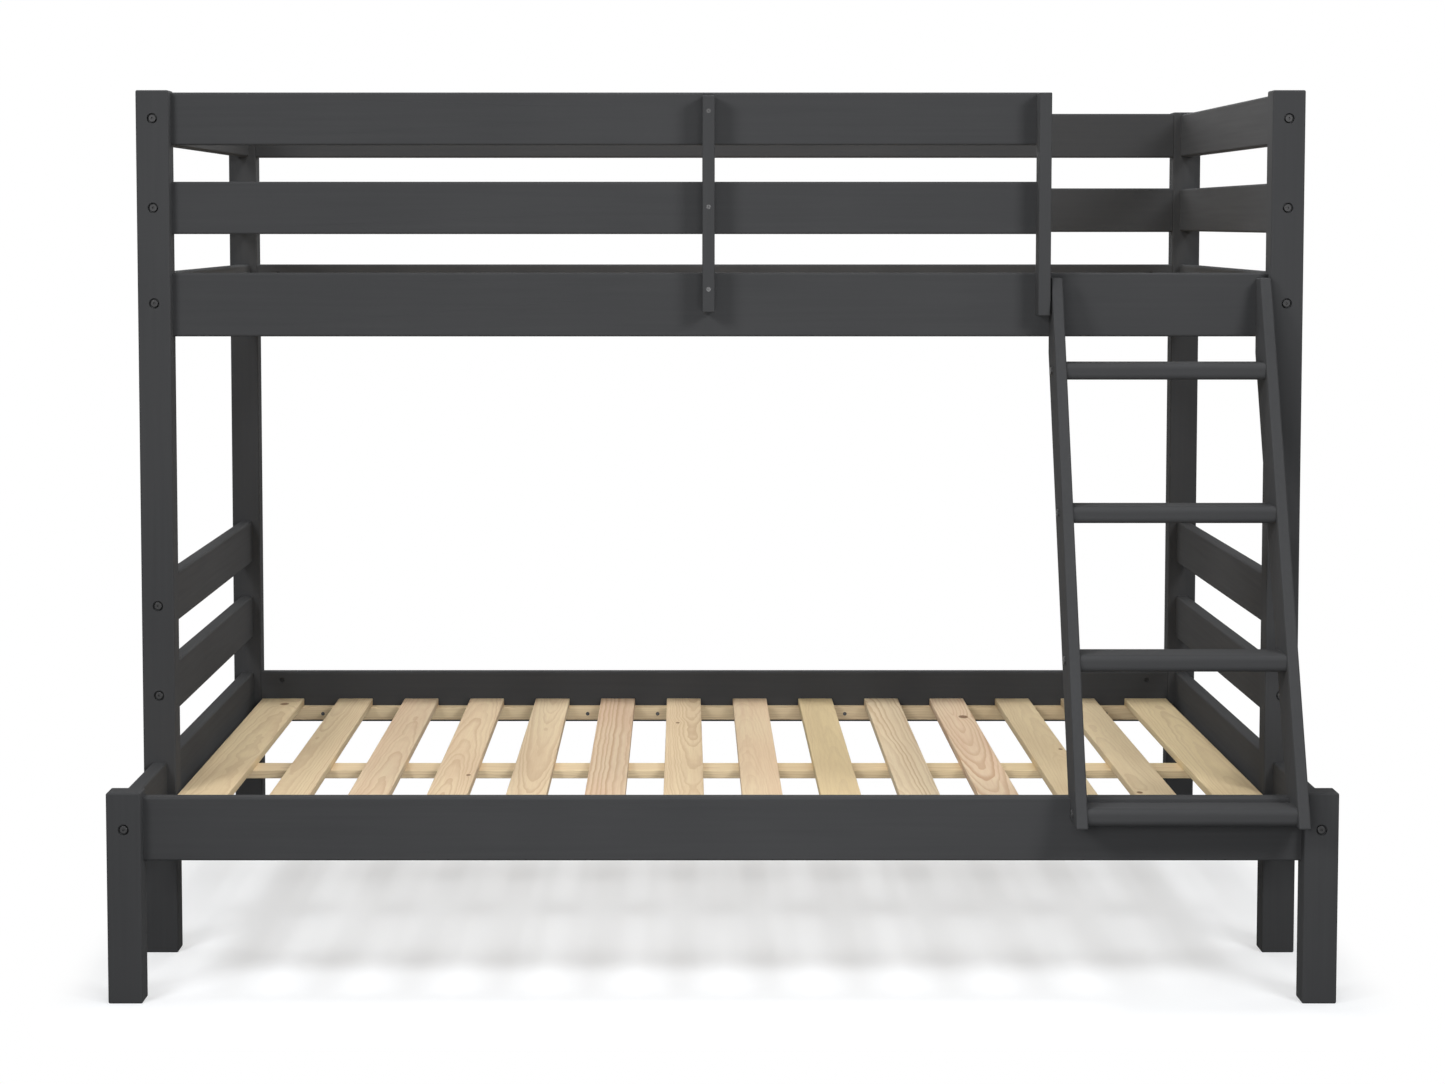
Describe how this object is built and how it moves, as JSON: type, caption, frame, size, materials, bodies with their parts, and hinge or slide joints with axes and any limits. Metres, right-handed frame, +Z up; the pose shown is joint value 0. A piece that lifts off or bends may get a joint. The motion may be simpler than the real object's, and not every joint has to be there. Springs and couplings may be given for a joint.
{
  "type": "bunk bed",
  "caption": "Timber bunk bed: a single berth over a wider one, with slatted bases, bolted posts and rails, guard rails and a leaning ladder at one front corner.",
  "frame": {"origin": "on the floor, under the middle of the whole bed with its ladder (bottom centre of the bounding box)", "axes": "+X along the bed towards the ladder end, -Y out of the front, where the ladder leans, +Z up"},
  "size_m": [1.99, 1.3601, 1.488],
  "materials": {
    "painted_timber": "solid pine under an even matt anthracite paint",
    "bare_pine": "planed bare pine, unvarnished",
    "bolt_steel": "blackened steel, satin",
    "zinc_steel": "dark zinc plate, satin",
    "dowel_beech": "turned bare beech"
  },
  "bodies": {
    "root": {"barrel_nuts": "zinc_steel", "dowels": "dowel_beech", "frame_bolts": "bolt_steel", "front_guard_rail_middle": "painted_timber", "front_guard_rail_top": "painted_timber", "front_leg_left": "painted_timber", "front_leg_right": "painted_timber", "front_post_left": "painted_timber", "front_post_right": "painted_timber", "guard_upright_end": "painted_timber", "guard_upright_middle": "painted_timber", "ladder_stile_left": "painted_timber", "ladder_stile_right": "painted_timber", "ladder_tread_1": "painted_timber", "ladder_tread_2": "painted_timber", "ladder_tread_3": "painted_timber", "ladder_tread_4": "painted_timber", "link_rail_left": "painted_timber", "link_rail_right": "painted_timber", "lower_batten_front": "bare_pine", "lower_batten_rear": "bare_pine", "lower_end_rail_bed_left": "painted_timber", "lower_end_rail_bed_right": "painted_timber", "lower_end_rail_middle_left": "painted_timber", "lower_end_rail_middle_right": "painted_timber", "lower_end_rail_top_left": "painted_timber", "lower_end_rail_top_right": "painted_timber", "lower_side_rail_front": "painted_timber", "lower_side_rail_rear": "painted_timber", "lower_slat_01": "bare_pine", "lower_slat_02": "bare_pine", "lower_slat_03": "bare_pine", "lower_slat_04": "bare_pine", "lower_slat_05": "bare_pine", "lower_slat_06": "bare_pine", "lower_slat_07": "bare_pine", "lower_slat_08": "bare_pine", "lower_slat_09": "bare_pine", "lower_slat_10": "bare_pine", "lower_slat_11": "bare_pine", "lower_slat_12": "bare_pine", "lower_slat_13": "bare_pine", "lower_slat_14": "bare_pine", "lower_slat_strip": "bare_pine", "rear_guard_rail_middle": "painted_timber", "rear_guard_rail_top": "painted_timber", "rear_post_left": "painted_timber", "rear_post_right": "painted_timber", "screws": "zinc_steel", "upper_batten_front": "bare_pine", "upper_batten_rear": "bare_pine", "upper_end_rail_bed_left": "painted_timber", "upper_end_rail_bed_right": "painted_timber", "upper_end_rail_middle_left": "painted_timber", "upper_end_rail_middle_right": "painted_timber", "upper_end_rail_top_left": "painted_timber", "upper_end_rail_top_right": "painted_timber", "upper_side_rail_front": "painted_timber", "upper_side_rail_rear": "painted_timber", "upper_slats": "bare_pine"}
  },
  "joints": []
}
